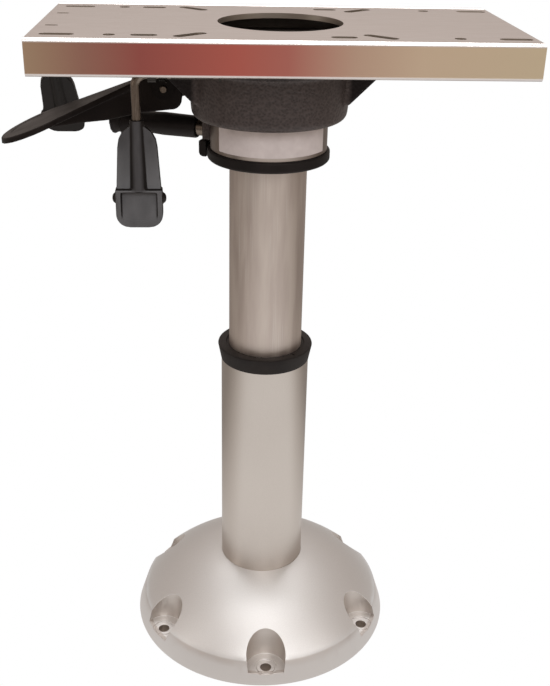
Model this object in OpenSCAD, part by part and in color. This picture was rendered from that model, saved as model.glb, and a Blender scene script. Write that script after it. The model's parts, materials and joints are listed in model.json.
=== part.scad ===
// Boat seat pedestal with a gas lift, a swivel top and a fore and aft seat slide.
// The origin is the middle of the base's underside, on the axis of the tubes.
// X runs along the seat slide, Z is up, and the long levers are at the left, towards -X.

/* [Base] */
// Diameter of the base casting at the floor
base_d = 228.6; // [215:0.1:240]
// Height of the dome where the tube leaves it
base_h = 60.5; // [56:0.5:66]
// Wall thickness of the casting
base_wall = 5; // [4:0.5:6]
// Diameter of the circle of floor screws
screw_circle_d = 206; // [200:1:208]
// Number of floor screws
screw_count = 6; // [4:1:8]
// Diameter of a floor screw hole
screw_hole_d = 9.5; // [7:0.5:11]
// Diameter of the round pocket over a floor screw
pocket_d = 33.6; // [28:0.2:36]
// Height of the pocket floor
pocket_floor_z = 10; // [8:0.5:12]

/* [Tubes] */
// Outer diameter of the fixed tube
outer_tube_d = 73; // [71:0.1:76]
// Outer diameter of the lift tube
inner_tube_d = 60.3; // [58:0.1:61]
// Wall of both tubes
tube_wall = 3; // [2.5:0.1:3.2]
// Height of the fixed tube's top end
outer_tube_top = 259; // [240:1:280]
// Height of the black bush above the fixed tube's end
bush_h = 13.5; // [10:0.5:18]
// Largest diameter of the black bush
bush_d = 78.6; // [76:0.2:84]
// Length of the bush's sleeve inside the fixed tube
bush_sleeve = 66; // [50:1:80]
// Length that the lift tube can go down
lift_travel = 150; // [120:1:155]

/* [Neck] */
// Height of the black neck ring's underside
ring_z = 429; // [426:1:436]
// Thickness of the black neck ring
ring_t = 8.5; // [7:0.5:9]
// Diameter of the black neck ring
ring_d = 94.4; // [92:0.2:98]
// Diameter of the silver neck sleeve
neck_d = 89.8; // [88:0.2:92]
// Height of the top casting's underside
cup_z = 461.5; // [460.5:0.5:462.5]
// Angle between two stops of the swivel lock
index_step = 30; // [30:15:60]
// Direction of the swivel lock's pull handle, seen from above
lock_az = 158; // [150:1:165]
// Height of the swivel lock pin
lock_z = 447.2; // [446:0.1:448]
// Diameter of the swivel lock pin
lock_pin_d = 8; // [7:0.5:9]

/* [Top casting] */
// Height of the arms' top face, which carries the carriage
arm_top_z = 507; // [505:0.5:509]
// Distance from the post to an arm's end, along the slide
arm_reach = 84; // [80:0.5:88]
// Distance of an arm's outer side face from the middle line
arm_side_y = 29; // [28:0.5:31]
// Width of an arm
arm_w = 14; // [12:0.5:16]
// Thickness of an arm at its end
arm_end_t = 4.5; // [4:0.5:6]
// Diameter of the cup just over its rounded underside
cup_d = 118; // [114:1:121]
// Diameter of the cup at its mouth
cup_mouth_d = 124; // [122:1:128]
// Wall of the cup
cup_wall = 5; // [4:0.5:6]

/* [Seat slide] */
// Length of the seat plate
plate_l = 343; // [320:1:360]
// Width of the seat plate
plate_w = 178; // [176:0.5:182]
// Height of the seat plate
plate_h = 25; // [24:0.1:27]
// Height of the plate's side walls' lower end
plate_z = 505.8; // [505:0.1:507]
// Thickness of the plate's deck
deck_t = 3.9; // [3:0.1:4.2]
// Thickness of the plate's side walls
plate_wall = 3; // [2.5:0.1:3.2]
// Radius of the bright beads along the deck's edges
bead_r = 2.6; // [2.2:0.1:2.8]
// Depth by which the deck lies under the beads
deck_drop = 0.6; // [0.3:0.1:1]
// Width of the lips that hold the carriage in
lip_w = 15.5; // [14.5:0.5:16]
// Thickness of the lips
lip_t = 3; // [2.6:0.1:3.2]
// Distance from the post to the middle of the plate, as it stands
slide_rest = 7; // [0:1:12]
// Spacing of the notches that the lock dogs drop into
notch_pitch = 9.5; // [9:0.5:12]
// Notches between the resting place and the left end of travel
notches_left = 7; // [5:1:7]
// Notches between the resting place and the right end of travel
notches_right = 5; // [4:1:5]
// Length of the carriage
carriage_l = 208; // [200:1:214]
// Diameter of the hole in the middle of the deck
deck_hole_d = 92; // [80:1:96]

/* [Deck slots] */
// Distance of the slot rows from the plate's long edges
row_inset = 21; // [19:0.5:23]
// Width of the slots
slot_w = 8; // [6:0.5:9]
// Middle of the right end slots
end_slot_right = 156.5; // [150:0.5:158]
// Middle of the left end slots
end_slot_left = 152.5; // [148:0.5:156]
// Length of the end slots
end_slot_l = 23; // [18:1:26]
// Distance of the round holes from the plate's middle
round_hole_x = 118; // [112:1:122]
// Middle of the left inner slots
mid_slot_left = 95; // [92:1:98]
// Middle of the right inner slots
mid_slot_right = 39; // [36:1:42]
// Length of the inner slots
mid_slot_l = 18; // [14:1:20]
// Distance of a slanting slot's middle from the plate's middle, along the slide
slant_x = 64.5; // [63:0.5:66]
// Length of the slanting slots
slant_l = 27; // [22:1:30]
// Distance of the small end slots from the plate's middle
tab_slot_x = 161; // [158:1:163]
// Distance of the small end slots from the middle line
tab_slot_y = 30; // [26:1:34]

/* [Slide locks] */
// Diameter of the lock rods
rod_d = 6.35; // [6:0.05:6.5]
// Distance of the lock rods from the lips' inner edges
rod_inset = 11.5; // [11:0.1:12]
// Height of the lock rods
rod_z = 503.5; // [503.3:0.1:503.6]
// Where the rear rod bends down
rear_leg_x = 171.5; // [168:0.5:174]
// Angle by which the rear handle stands out from the vertical
rear_tilt = 38.5; // [32:0.5:42]
// Distance from the rod's axis to the top of its grip
grip_drop = 31.1; // [28:0.1:34]
// Length of a hanging grip
grip_l = 76.9; // [72:0.1:80]
// Width of a hanging grip at its shoulders
grip_shoulder_w = 28; // [26:0.5:30]
// Width of a hanging grip at its ledge
grip_ledge_w = 32; // [30:0.5:33]
// Width of the tray at the foot of a hanging grip
tray_w = 33.5; // [31:0.5:35]
// Distance from the grip's top to its ledge
ledge_drop = 50.2; // [47:0.1:53]

/* [Height lever] */
// Distance from the cup's mouth to the lever's pivot
pivot_gap = 17; // [16:0.5:18]
// Height of the lever's pivot
lever_pivot_z = 482.4; // [482:0.1:483]
// Diameter of the lever's pivot pin
lever_pin_d = 4.5; // [4:0.5:6]
// Distance from the post to the lever's tip
lever_tip_x = 201.5; // [190:0.5:204]
// Slope of the lever's upper face
lever_slope = 22.6; // [21:0.1:24]
// Width of the lever's paddle
paddle_w = 58; // [50:1:62]
// Width of the lever at its pivot
lever_w = 14; // [13:0.5:16]
// Thickness of the steel release arm
arm_t = 4; // [3:0.5:4.5]
// Travel of the valve button
valve_travel = 5.6; // [5:0.1:5.8]

/* [Hidden] */
$fn = 64;

// Clearances
press = 0.05;
running = 0.08;
loose = 0.3;

// Tubes
outer_r = outer_tube_d / 2;
outer_bore = outer_r - tube_wall;
inner_r = inner_tube_d / 2;
inner_bore = inner_r - tube_wall;

// Socket and seat of the fixed tube in the base
socket_wall = 6.5;
socket_r = outer_r + press + socket_wall;
seat_z = 8;
seat_t = 4;
seat_bore = 24;
rib_w = 4;
groove_depth = 0.8;

// Base dome: a shallow arc from the tube to the rim
rim_r = base_d / 2;
rim_h = 19.5;
rim_step = 6.3;
rim_width = 11.3;
pocket_r = pocket_d / 2;
screw_circle_r = screw_circle_d / 2;
dome_top_r = outer_r + press;
dome_edge_r = rim_r - rim_step;
dome_drop = (dome_edge_r * dome_edge_r + rim_h * rim_h - dome_top_r * dome_top_r - base_h * base_h)
    / 2 / (base_h - rim_h);
dome_r = norm([dome_edge_r, rim_h + dome_drop]);

// Lift tube
inner_bottom = outer_tube_top - bush_sleeve - 13;
inner_top = cup_z + 12;
guide_h = 12;

// Gas spring
foot_t = 5;
rod_r = 5;
stud_r = 4;
cylinder_r = 14;
cylinder_bore = 12;
cylinder_bottom = inner_bottom + 32;
cylinder_top = inner_top + 7;
cylinder_plug = 24;
cap_t = 4;
cap_spigot = 8;
clip_t = 1.5;
clip_r = 17.5;
clip_groove = 0.8;
button_r = 4;
button_top = cylinder_top + 9;
button_l = 16;
button_hole_l = 15;

// Neck
neck_r = neck_d / 2;
neck_bore = 38.6;
collar_r = 38;
ring_top = ring_z + ring_t;
neck_bottom = ring_top + loose;
pin_r = lock_pin_d / 2;
index_hole_r = pin_r + loose;
thrust_t = 2.4;
collar_top = cup_z - 2;
bush_bore = inner_r + running;
bush_wall = 4;
floor_top = cup_z + 8;
boss_wall = 5;

// Swivel lock, by distance from the axis
block_r = 52;
block_w = 18;
block_z = ring_top + 2;
cap_reach = 2;
cap_half = block_w / 2 + 1.5;
cap_z = ring_z - 2;
cap_round = 3;
cap_toe_half = 5.5;
lock_sleeve_r = 6.5;
lock_sleeve_end = 72;
lock_chamber_r = 5;
lock_collar_r = 4.8;
lock_collar_at = 54;
lock_collar_t = 2;
lock_stem_r = 2.5;
lock_tip = 33.5;
pull_start = 58;
pull_r = 8.6;
pull_flare_r = 17;
pull_end = 131;
pull_l = pull_end - pull_start;
pull_bore_end = 88;
lock_stem_end = 118;
lock_travel = 7;

// Casting arms, parallel to the slide
flange_w = 3;
flange_h = 6;
cup_turn_h = 5.5;
casting_screw_x = cup_mouth_d / 2 + 11;
casting_screw_y = arm_side_y - arm_w / 2;
casting_screw_d = 8;
screw_depth = 9;
screw_head_d = 13;
screw_head_t = 4.5;
screw_key = 6;

// Head of the lever pin
pin_head_w = 1.6;
pin_head_t = 1.2;

// Through cuts are made this much longer than what they cut
over = 1;

// Seat plate
plate_top = plate_z + plate_h;
deck_top = plate_top - deck_drop;
deck_under = deck_top - deck_t;
wall_in = plate_w / 2 - plate_wall;
lip_in = plate_w / 2 - lip_w;
row_y = plate_w / 2 - row_inset;
slant_y = row_y - 3.5;
lip_top = plate_z + lip_t;
notch_depth = 4;
notch_w = 6.4;
dog_w = 5.6;
dog_ring_r = 5.4;
dog_x = -(carriage_l / 2 - 20);
stop_r = 3;
stop_gap = 0.5;
stop_right = carriage_l / 2 + notch_pitch * notches_left + stop_r + stop_gap - slide_rest;
stop_left = carriage_l / 2 + notch_pitch * notches_right + stop_r + stop_gap + slide_rest;

// Lock rods: they end beside the cup and turn in snap-in blocks under the carriage
rod_y = lip_in - rod_inset;
rod_r2 = rod_d / 2;
rod_fit = rod_r2 + running;
front_leg_x = carriage_l / 2 - 8.5;
nut_t = 1.6;
nut_wall = 1.6;
rod_keep_out = cup_mouth_d / 2 + flange_w + 2;
nut_x = -nut_t - sqrt(max(rod_keep_out * rod_keep_out - (rod_y - 6) * (rod_y - 6), 400));
block_half = 5.5;
block_left = dog_x + 13;
block_right = nut_x - 4;
peg_x = [block_left + 5, block_right - 5];
block_under = 1.9;
peg_r = 2.5;

// Carriage and glides
web_z = arm_top_z;
web_t = 4;
glide_t = 1.2;
glide_gap = 0.2;
rail_out = wall_in - glide_gap - glide_t;
rail_bottom = lip_top + loose + glide_t;
rail_top = deck_under - glide_gap - glide_t;
rail_wall = 4;
web_half = lip_in - 1;
carriage_hole_r = cup_mouth_d / 2 - 2;
window_in = rod_y - 6;
window_out = rail_out - rail_wall;
stop_y = rail_out - 2.5;
stop_seat = 1.5;

// Hanging grips
tube_r = 5;
panel_t = 5;
tray_t = 9;
ear_r = 4.2;
ear_l = 38.5;
grip_bore = rod_r2 + 0.02;

// Height lever
flange_t = 4.5;
lever_pivot_x = cup_mouth_d / 2 + pivot_gap;
lever_right = lever_pivot_x - 13.5;
ear_t = 2.5;
ear_gap = 0.3;

// Points along an arc from a to b that bulges by sag to the left of the way from a to b
function bulge(a, b, sag, n = 8) =
    let (
        c = norm(b - a),
        r = c * c / (8 * sag) + sag / 2,
        along = (b - a) / c,
        left = [-along[1], along[0]],
        centre = (a + b) / 2 - left * (r - sag),
        half = asin(c / 2 / r)
    )
    [for (i = [0:n]) let (t = -half + 2 * half * i / n)
        centre + r * (left * cos(t) + along * sin(t))];

// Rounded slot, cut upwards from z
module slot(x, y, l, w, z, h, turn = 0) {
    translate([x, y, z]) rotate([0, 0, turn]) {
        for (side = [-1, 1]) translate([side * (l - w) / 2, 0, 0]) cylinder(h = h, d = w);
        translate([-(l - w) / 2, -w / 2, 0]) cube([l - w, w, h]);
    }
}

module ring(r_out, r_in, z, h) {
    translate([0, 0, z]) difference() {
        cylinder(h = h, r = r_out);
        translate([0, 0, -1]) cylinder(h = h + 2, r = r_in);
    }
}

// Places things that lie along the swivel lock's axis, with z outwards from the post
module along_lock() {
    rotate([0, 0, lock_az]) translate([0, 0, lock_z]) rotate([0, 90, 0]) children();
}

// One swept wire of six sides through points, closed at both ends
module wire(points, r) {
    n = len(points);
    sides = 6;
    dirs = [for (i = [0:n - 1]) let (
        a = points[max(i - 1, 0)], b = points[min(i + 1, n - 1)]) (b - a) / norm(b - a)];
    rings = [for (i = [0:n - 1]) let (
            d = dirs[i],
            ref = abs(d[0]) < 0.8 ? [1, 0, 0] : [0, 1, 0],
            u = cross(d, ref) / norm(cross(d, ref)),
            v = cross(d, u))
        for (k = [0:sides - 1]) points[i] + r * (u * cos(360 * k / sides) + v * sin(360 * k / sides))];
    sidefaces = [for (i = [0:n - 2]) for (k = [0:sides - 1])
        let (k2 = (k + 1) % sides)
            [i * sides + k, i * sides + k2, (i + 1) * sides + k2, (i + 1) * sides + k]];
    first = [[for (k = [sides - 1:-1:0]) k]];
    last = [[for (k = [0:sides - 1]) (n - 1) * sides + k]];
    polyhedron(rings, concat(first, sidefaces, last));
}

// Points of a coil along z
function coil(r, turns, l, per_turn = 12) =
    [for (i = [0:turns * per_turn]) [r * cos(360 * i / per_turn), r * sin(360 * i / per_turn),
        l * i / (turns * per_turn)]];

// Base casting

// The dome is part of a ball whose rim is cut by a steep cone
module dome_ball(r) {
    translate([0, 0, -dome_drop]) sphere(r = r);
}

module dome_solid() {
    intersection() {
        dome_ball(dome_r);
        cylinder(h = base_h, r1 = rim_r, r2 = rim_r - rim_step * base_h / rim_h);
    }
}

module each_screw() {
    for (i = [0:screw_count - 1])
        rotate([0, 0, -90 + 360 * i / screw_count]) translate([screw_circle_r, 0, 0]) children();
}

// Space under the dome, between the socket, the pockets' bosses and the ribs
module dome_space() {
    difference() {
        intersection() {
            dome_ball(dome_r - base_wall);
            translate([0, 0, -1]) cylinder(h = base_h, r = rim_r - rim_width);
        }
        translate([0, 0, -2]) cylinder(h = base_h, r = socket_r);
        each_screw() translate([0, 0, -2]) cylinder(h = base_h, r = pocket_r + base_wall);
        for (i = [0:screw_count - 1]) rotate([0, 0, -90 + 360 * (i + 0.5) / screw_count])
            translate([socket_r - 2, -rib_w / 2, 4]) cube([rim_r - socket_r, rib_w, base_h]);
    }
}

module base_casting() color("silver") difference() {
    dome_solid();
    dome_space();
    // Socket for the tube, the opening under its seat, and the screw pockets
    translate([0, 0, seat_z]) cylinder(h = base_h, r = outer_r + press);
    translate([0, 0, -1]) cylinder(h = seat_z + 2, r = seat_bore);
    translate([0, 0, -1]) cylinder(h = seat_z - seat_t + 1, r = socket_r - 3);
    each_screw() {
        translate([0, 0, pocket_floor_z]) cylinder(h = base_h, r = pocket_r);
        translate([0, 0, -1]) cylinder(h = pocket_floor_z + 2, d = screw_hole_d);
        // Shallow groove round the screw hole
        translate([0, 0, pocket_floor_z - groove_depth])
            ring(screw_hole_d / 2 + 5, screw_hole_d / 2 + 3, 0, 2);
    }
}

module outer_tube() color("gainsboro") ring(outer_r, outer_bore, seat_z, outer_tube_top - seat_z);

module tube_bush() color("dimgray") difference() {
    rotate_extrude() polygon([
        [inner_r + running, outer_tube_top - bush_sleeve],
        [outer_bore - press, outer_tube_top - bush_sleeve],
        [outer_bore - press, outer_tube_top],
        [outer_r + 0.4, outer_tube_top],
        [bush_d / 2, outer_tube_top + bush_h - 1.4],
        [bush_d / 2 - 0.3, outer_tube_top + bush_h - 0.5],
        [bush_d / 2 - 1.2, outer_tube_top + bush_h],
        [inner_r + running + 2.5, outer_tube_top + bush_h],
        [inner_r + running + 2, outer_tube_top + bush_h - 1],
        [inner_r + running, outer_tube_top + bush_h - 1]]);
    // Split and drain notch in the lip
    rotate([0, 0, -51]) translate([inner_r - 1, -0.6, outer_tube_top + 2]) cube([7, 1.2, bush_h]);
    rotate([0, 0, -103]) translate([inner_r - 1, -2, outer_tube_top + bush_h - 3]) cube([4, 4, 4]);
}

// Gas spring

module spring_foot() color("slategray") difference() {
    translate([0, 0, seat_z]) cylinder(h = foot_t, r = outer_bore - loose);
    translate([0, 0, seat_z - 1]) cylinder(h = foot_t + 2, r = stud_r + press);
    for (i = [0:2]) rotate([0, 0, 120 * i]) translate([20, 0, seat_z - 1]) cylinder(h = foot_t + 2, r = 5);
}

module gas_rod() color("lightgray") difference() {
    union() {
        translate([0, 0, seat_z - 3]) cylinder(h = foot_t + 4, r = stud_r);
        translate([0, 0, seat_z + foot_t]) cylinder(h = cylinder_bottom + 16 - seat_z - foot_t, r = rod_r);
        translate([0, 0, cylinder_bottom + 9]) cylinder(h = 7, r = cylinder_bore - running);
    }
    ring(stud_r + 1, stud_r - clip_groove, seat_z - clip_t, clip_t);
}

module rod_clip() color("dimgray") difference() {
    ring(stud_r + 4, stud_r - clip_groove, seat_z - clip_t, clip_t);
    translate([0, -1.5, seat_z - clip_t - 1]) cube([stud_r + 5, 3, clip_t + 2]);
}

module gas_cylinder() color("dimgray") difference() {
    union() {
        translate([0, 0, cylinder_bottom]) cylinder(h = cylinder_top - cylinder_bottom, r = cylinder_r);
        translate([0, 0, inner_top - cap_spigot - 4]) cylinder(h = 4, r = cylinder_r + 5);
    }
    translate([0, 0, cylinder_bottom - 1]) cylinder(h = 10, r = rod_r + running);
    translate([0, 0, cylinder_bottom + 8]) cylinder(
        h = cylinder_top - cylinder_plug - cylinder_bottom - 8, r = cylinder_bore);
    translate([0, 0, cylinder_top - button_hole_l]) cylinder(h = button_hole_l + 1, r = button_r + loose);
    ring(cylinder_r + 1, cylinder_r - clip_groove, inner_top + cap_t, clip_t);
}

module cylinder_clip() color("silver") difference() {
    ring(clip_r, cylinder_r - clip_groove + press, inner_top + cap_t, clip_t);
    translate([0, -3, inner_top + cap_t - 1]) cube([clip_r + 1, 6, clip_t + 2]);
}

module valve_button() color("tomato") {
    translate([0, 0, button_top - button_l]) cylinder(h = button_l - 1, r = button_r);
    translate([0, 0, button_top - 1]) cylinder(h = 1, r1 = button_r, r2 = button_r - 1);
}

// Lift post

module inner_tube() color("lightgray") ring(inner_r, inner_bore, inner_bottom, inner_top - inner_bottom);

// The guide ring runs in the fixed tube and stops the lift at the bush
module guide_ring() color("darkslategray") rotate_extrude() polygon([
    [inner_bore - 4, inner_bottom - 2], [outer_bore - running, inner_bottom - 2],
    [outer_bore - running, inner_bottom + guide_h], [inner_r + press, inner_bottom + guide_h],
    [inner_r + press, inner_bottom], [inner_bore - press, inner_bottom],
    [inner_bore - press, inner_bottom + guide_h], [inner_bore - 4, inner_bottom + guide_h]]);

module index_collar() color("darkgray") difference() {
    ring(collar_r, inner_r + press, ring_top, collar_top - ring_top);
    for (a = [0:index_step:359]) rotate([0, 0, lock_az + a]) translate([inner_r + 1.5, 0, lock_z])
        rotate([0, 90, 0]) cylinder(h = collar_r, r = index_hole_r);
}

module neck_ring() color("black") rotate_extrude() polygon([
    [inner_r + press, ring_z + 1], [inner_r + press + 1, ring_z], [ring_d / 2 - 1.5, ring_z],
    [ring_d / 2, ring_z + 1.5], [ring_d / 2, ring_top - 1], [ring_d / 2 - 1, ring_top],
    [inner_r + press, ring_top]]);

module post_cap() color("darkgray") difference() {
    union() {
        translate([0, 0, inner_top]) cylinder(h = cap_t, r = inner_r);
        translate([0, 0, inner_top - cap_spigot]) cylinder(h = cap_spigot, r = inner_bore - press);
    }
    translate([0, 0, inner_top - cap_spigot - 1])
        cylinder(h = cap_t + cap_spigot + 2, r = cylinder_r + press);
}

// Swivelling top

module neck_sleeve() color("gainsboro") difference() {
    ring(neck_r, neck_bore, neck_bottom, cup_z - neck_bottom);
    along_lock() translate([0, 0, neck_bore - 3]) cylinder(h = neck_r - neck_bore + 6, r = index_hole_r);
}

module swivel_bush() color("ivory") rotate_extrude() polygon([
    [bush_bore, collar_top], [collar_r, collar_top], [collar_r, collar_top + thrust_t],
    [bush_bore + bush_wall, collar_top + thrust_t], [bush_bore + bush_wall, inner_top - 2],
    [bush_bore, inner_top - 2]]);

module cup_solid() {
    rotate_extrude() polygon(concat(
        [[0, cup_z]],
        bulge([cup_d / 2 - 5, cup_z], [cup_d / 2, cup_z + cup_turn_h], -1.4, 4),
        [[cup_mouth_d / 2, arm_top_z - flange_h - 2], [cup_mouth_d / 2 + flange_w, arm_top_z - flange_h],
         [cup_mouth_d / 2 + flange_w, arm_top_z], [0, arm_top_z]]));
}

module cup_hollow() {
    rotate_extrude() polygon([
        [0, floor_top], [cup_d / 2 - cup_wall - 3, floor_top], [cup_d / 2 - cup_wall, floor_top + 3],
        [cup_mouth_d / 2 - cup_wall, arm_top_z - flange_h], [cup_mouth_d / 2 - cup_wall, arm_top_z + over],
        [0, arm_top_z + over]]);
}

// An arm is a wedge along the slide that leaves the cup's flank and ends under the carriage
module casting_arm() {
    root_x = cup_d / 2 - 18;
    foot_x = cup_d / 2 - 2.5;
    foot_z = cup_z + 14;
    translate([0, casting_screw_y, 0]) across(arm_w) polygon([
        [root_x, foot_z], [foot_x, foot_z], [arm_reach, arm_top_z - arm_end_t],
        [arm_reach, arm_top_z], [root_x, arm_top_z]]);
}

// Repeats the arm at the right and the rear for the other three
module each_arm() {
    for (end = [0, 1]) for (side = [0, 1]) mirror([end, 0, 0]) mirror([0, side, 0]) children();
}

module top_casting() color([0.2, 0.19, 0.19]) difference() {
    union() {
        difference() {
            union() {
                cup_solid();
                each_arm() casting_arm();
            }
            cup_hollow();
        }
        translate([0, 0, cup_z + 1])
            cylinder(h = inner_top - 2 - cup_z - 1, r = bush_bore + bush_wall + press + boss_wall);
        // Block that carries the swivel lock
        rotate([0, 0, lock_az]) translate([neck_r - 4, -block_w / 2, block_z])
            cube([block_r - neck_r + 4, block_w, cup_z - block_z + 0.5]);
    }
    // Bore for the bush, recess for its flange, and room for the neck sleeve
    translate([0, 0, cup_z - 1]) cylinder(h = 30, r = bush_bore + bush_wall + press);
    translate([0, 0, cup_z - 1]) cylinder(h = 1 + collar_top + thrust_t - cup_z, r = collar_r + loose);
    translate([0, 0, ring_z]) cylinder(h = cup_z - ring_z, r = neck_r + press);
    // Slot for the release arm
    translate([-cup_mouth_d / 2 - over, -arm_t / 2 - 2, cup_z + 11])
        cube([cup_wall + 6, arm_t + 4, arm_top_z - cup_z - 22]);
    // Holes for the casting screws and the swivel lock's sleeve
    each_arm() translate([casting_screw_x, casting_screw_y, arm_top_z - screw_depth])
        cylinder(h = screw_depth + over, d = casting_screw_d);
    along_lock() translate([0, 0, neck_r - 2]) cylinder(h = block_r - neck_r + 4, r = lock_sleeve_r);
}

// Buffer under the lock block, beside the neck ring, with a toe over the ring
module block_cap() color("black") rotate([0, 0, lock_az]) {
    rotate([90, 0, 0]) translate([0, 0, -cap_half]) linear_extrude(2 * cap_half) polygon([
        [ring_d / 2 + 0.5, block_z], [ring_d / 2 + 0.5, cap_z], [block_r + cap_reach - cap_round, cap_z],
        [block_r + cap_reach - 0.3 * cap_round, cap_z + 0.3 * cap_round],
        [block_r + cap_reach, cap_z + cap_round], [block_r + cap_reach, block_z]]);
    translate([neck_r + 0.6, -cap_toe_half, ring_top + loose])
        cube([ring_d / 2 - neck_r + 2, 2 * cap_toe_half, block_z - ring_top - loose]);
}

// Carriage and its glides

module carriage_section() {
    polygon([
        [-web_half, web_z], [web_half, web_z], [web_half, rail_bottom], [rail_out, rail_bottom],
        [rail_out, rail_top], [rail_out - rail_wall, rail_top],
        [rail_out - rail_wall, rail_bottom + rail_wall],
        [web_half - rail_wall, rail_bottom + rail_wall], [web_half - rail_wall, web_z + web_t],
        [-web_half + rail_wall, web_z + web_t], [-web_half + rail_wall, rail_bottom + rail_wall],
        [-rail_out + rail_wall, rail_bottom + rail_wall], [-rail_out + rail_wall, rail_top],
        [-rail_out, rail_top], [-rail_out, rail_bottom], [-web_half, rail_bottom]]);
}

// Lays a section drawn in Y and Z along X
module along_x(l) {
    translate([-l / 2, 0, 0]) rotate([90, 0, 90]) linear_extrude(l) children();
}

module carriage() color("darkgray") difference() {
    along_x(carriage_l) carriage_section();
    translate([0, 0, web_z - over]) cylinder(h = web_t + 2 * over, r = carriage_hole_r);
    each_arm() translate([casting_screw_x, casting_screw_y, web_z - over])
        cylinder(h = web_t + 2 * over, d = casting_screw_d + 1);
    // Windows for the lock dog with its spring, and for the nut at the rod's end
    for (side = [0, 1]) mirror([0, side, 0]) {
        translate([dog_x - 4.5, window_in, web_z - 1])
            cube([19, window_out - window_in, rail_bottom + rail_wall - web_z + 2]);
        translate([nut_x - 3, window_in, web_z - over])
            cube([nut_t + 5, 2 * (rod_y - window_in), web_t + 2 * over]);
        for (x = peg_x) translate([x, rod_y, web_z - over])
            cylinder(h = web_t + 2 * over, r = peg_r + press);
    }
    // Holes of the lever bracket's rivets
    for (x = bracket_rivet_x) translate([x, 0, web_z - over]) cylinder(h = web_t + 2 * over, r = rivet_r);
}

// Snap-in blocks that the lock rods turn in, open underneath
module rod_blocks() color("ivory") for (side = [-1, 1]) difference() {
    union() {
        translate([block_left, side * rod_y - block_half, rod_z - block_under])
            cube([block_right - block_left, 2 * block_half, web_z - rod_z + block_under]);
        for (x = peg_x) translate([x, side * rod_y, web_z - over]) cylinder(h = web_t + over, r = peg_r);
    }
    translate([block_left - over, side * rod_y, rod_z]) rotate([0, 90, 0])
        cylinder(h = block_right - block_left + 2 * over, r = rod_fit);
}

module glide(side) {
    along_x(carriage_l) mirror([side < 0 ? 1 : 0, 0, 0]) polygon([
        [lip_in + 4, lip_top + loose], [wall_in - glide_gap, lip_top + loose],
        [wall_in - glide_gap, deck_under - glide_gap], [rail_out - rail_wall - 1, deck_under - glide_gap],
        [rail_out - rail_wall - 1, rail_top], [rail_out, rail_top], [rail_out, rail_bottom],
        [lip_in + 4, rail_bottom]]);
}

module glide_front() color("ivory") glide(-1);

module glide_rear() color("ivory") glide(1);

module casting_screws() color("silver") each_arm()
    translate([casting_screw_x, casting_screw_y, 0]) difference() {
    union() {
        translate([0, 0, arm_top_z - screw_depth]) cylinder(h = screw_depth + web_t, d = casting_screw_d);
        translate([0, 0, web_z + web_t]) cylinder(h = screw_head_t, d = screw_head_d);
    }
    translate([0, 0, web_z + web_t + 1.5]) cylinder(h = screw_head_t, d = screw_key / cos(30), $fn = 6);
}

// Lever bracket: a folded strap under the carriage with two ears

rivet_r = 2;
rivet_head = 1.5;
rivet_head_t = 1.8;
bracket_top_t = 2.5;
bracket_half = lever_w / 2 + ear_gap + ear_t;
strap_left = 16;
strap_right = 11.5;
bracket_rivet_x = [-lever_pivot_x - strap_left + 4.5, -lever_pivot_x + strap_right - 4];
bracket_ear_w = 16;

module lever_bracket() color("black") difference() {
    union() {
        translate([-lever_pivot_x - strap_left, -bracket_half, web_z - bracket_top_t])
            cube([strap_left + strap_right, 2 * bracket_half, bracket_top_t]);
        for (side = [-1, 1]) translate([-lever_pivot_x, side * (bracket_half - ear_t / 2), lever_pivot_z])
            rotate([90, 0, 0]) {
                translate([0, 0, -ear_t / 2]) cylinder(h = ear_t, d = bracket_ear_w);
                translate([-bracket_ear_w / 2, 0, -ear_t / 2])
                    cube([bracket_ear_w, web_z - lever_pivot_z - 1, ear_t]);
            }
    }
    translate([-lever_pivot_x, 0, lever_pivot_z]) rotate([90, 0, 0])
        cylinder(h = 2 * bracket_half + 2 * over, d = lever_pin_d + 2 * press, center = true);
    for (x = bracket_rivet_x) translate([x, 0, web_z - bracket_top_t - over])
        cylinder(h = bracket_top_t + 2 * over, r = rivet_r);
}

module bracket_rivets() color("silver") for (x = bracket_rivet_x) translate([x, 0, 0]) {
    translate([0, 0, web_z - bracket_top_t]) cylinder(h = bracket_top_t + web_t, r = rivet_r - press);
    translate([0, 0, web_z - bracket_top_t - rivet_head_t])
        cylinder(h = rivet_head_t, r1 = rivet_r, r2 = rivet_r + rivet_head);
    translate([0, 0, web_z + web_t]) cylinder(h = rivet_head_t, r1 = rivet_r + rivet_head, r2 = rivet_r);
}

module lever_pin() color("silver") translate([-lever_pivot_x, 0, lever_pivot_z]) rotate([90, 0, 0]) {
    cylinder(h = 2 * bracket_half, d = lever_pin_d, center = true);
    for (side = [0, 1]) mirror([0, 0, side]) translate([0, 0, bracket_half])
        cylinder(h = pin_head_t, d1 = lever_pin_d + pin_head_w, d2 = lever_pin_d);
}

// Height lever

lever_joint_x = lever_pivot_x + 21;

// Height of the lever's upper face at x
function slope_z(x) = lever_pivot_z + 4.8 + tan(lever_slope) * (x + lever_joint_x);

// Lays a shape drawn in X and Z across the middle line, w wide
module across(w) {
    rotate([90, 0, 0]) translate([0, 0, -w / 2]) linear_extrude(w) children();
}

module lever_side() {
    polygon(concat(
        [[-lever_tip_x + 8, slope_z(-lever_tip_x + 8) - flange_t + 0.5],
         [-lever_tip_x + 36, slope_z(-lever_tip_x + 36) - flange_t - 3],
         [-lever_pivot_x - 62, lever_pivot_z - 26], [-lever_pivot_x - 42, lever_pivot_z - 23.8],
         [-lever_pivot_x - 17.6, lever_pivot_z - 18.2]],
        bulge([-lever_right - 9, lever_pivot_z - 15.6], [-lever_right, lever_pivot_z - 8], -2.6, 5),
        [[-lever_right, lever_pivot_z + 8], [-lever_right - 4, lever_pivot_z + 12],
         [-lever_pivot_x - 2, lever_pivot_z + 12],
         [-lever_pivot_x - 24, slope_z(-lever_pivot_x - 24) - 0.5]]));
}

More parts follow.
